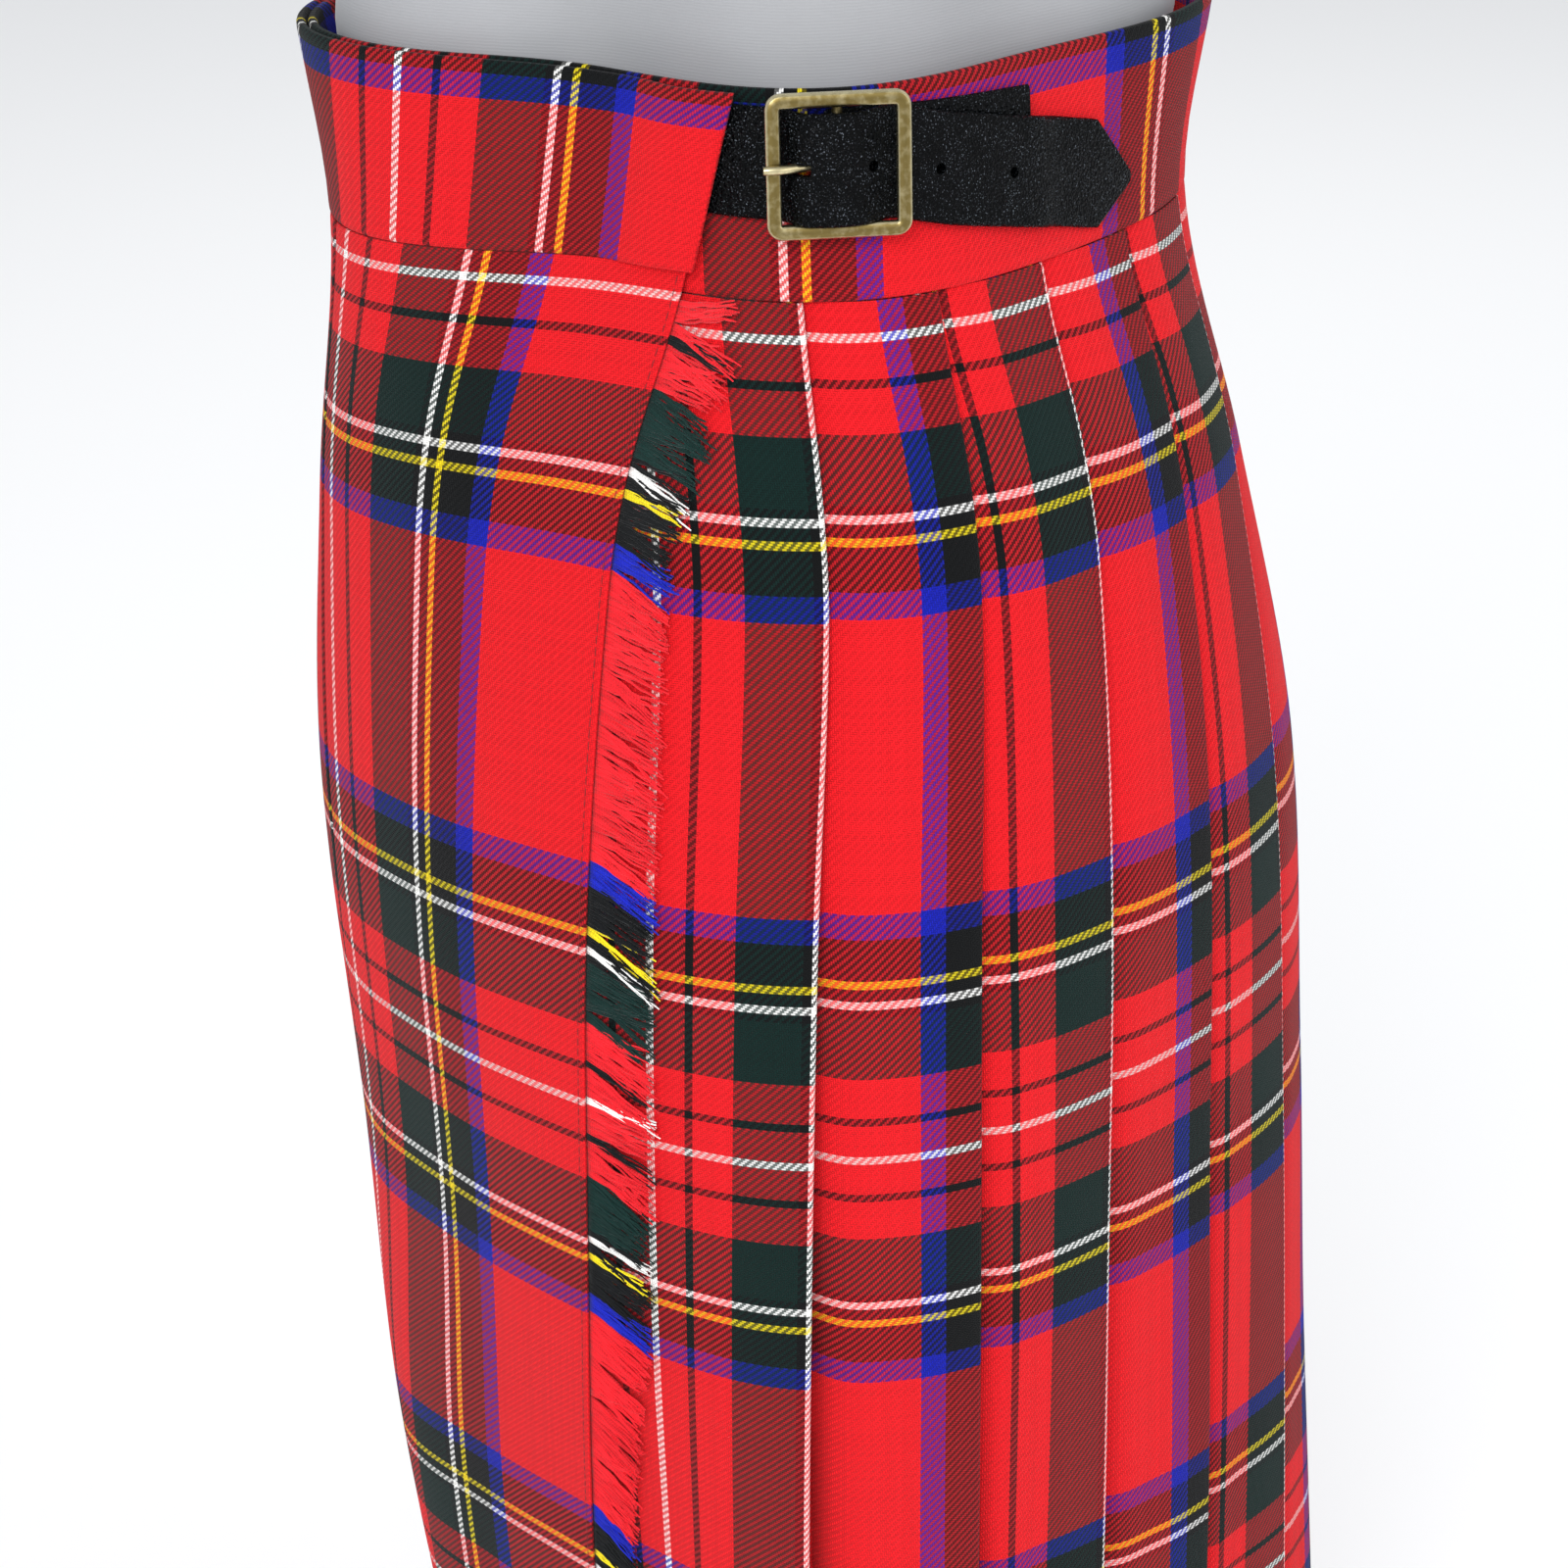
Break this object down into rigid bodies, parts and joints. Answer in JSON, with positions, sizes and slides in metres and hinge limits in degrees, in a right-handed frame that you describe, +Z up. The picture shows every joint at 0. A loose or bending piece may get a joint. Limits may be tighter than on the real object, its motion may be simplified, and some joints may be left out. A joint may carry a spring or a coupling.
{
  "type": "scottish kilt on a limbless dress form",
  "caption": "Knee-length wrap-over wool kilt in red check with pleated back, fringed apron edge, leather strap and square buckle, on a limbless dress form and round stand.",
  "frame": {"origin": "middle of the underside of the stand's round base, on the floor", "axes": "+Z up; the wearer would face -Y; the wearer's left, where the kilt fastens, is +X"},
  "size_m": [0.3, 0.3109, 1.0273],
  "materials": {
    "checked_wool": "2/2 twill wool woven in a red check",
    "fringe_wool": "unravelled wool yarns",
    "black_leather": "pebbled, half matt",
    "antique_brass": "antiqued, bright at the edges",
    "form_jersey": "smooth pale grey jersey",
    "cap_lacquer": "dark satin lacquer",
    "painted_steel": "satin powder coat"
  },
  "bodies": {
    "root": {"pleated_back": "checked_wool", "outer_apron": "checked_wool", "under_apron": "checked_wool", "waistband_back": "checked_wool", "waistband_apron": "checked_wool", "waistband_under": "checked_wool", "fringe_strip": "fringe_wool", "strap": "black_leather", "buckle_tab": "black_leather", "buckle_frame": "antique_brass", "buckle_prong": "antique_brass", "form_torso": "form_jersey", "form_neck_cap": "cap_lacquer", "stand_collar": "painted_steel", "stand_pole": "painted_steel", "stand_base": "painted_steel"}
  },
  "joints": []
}
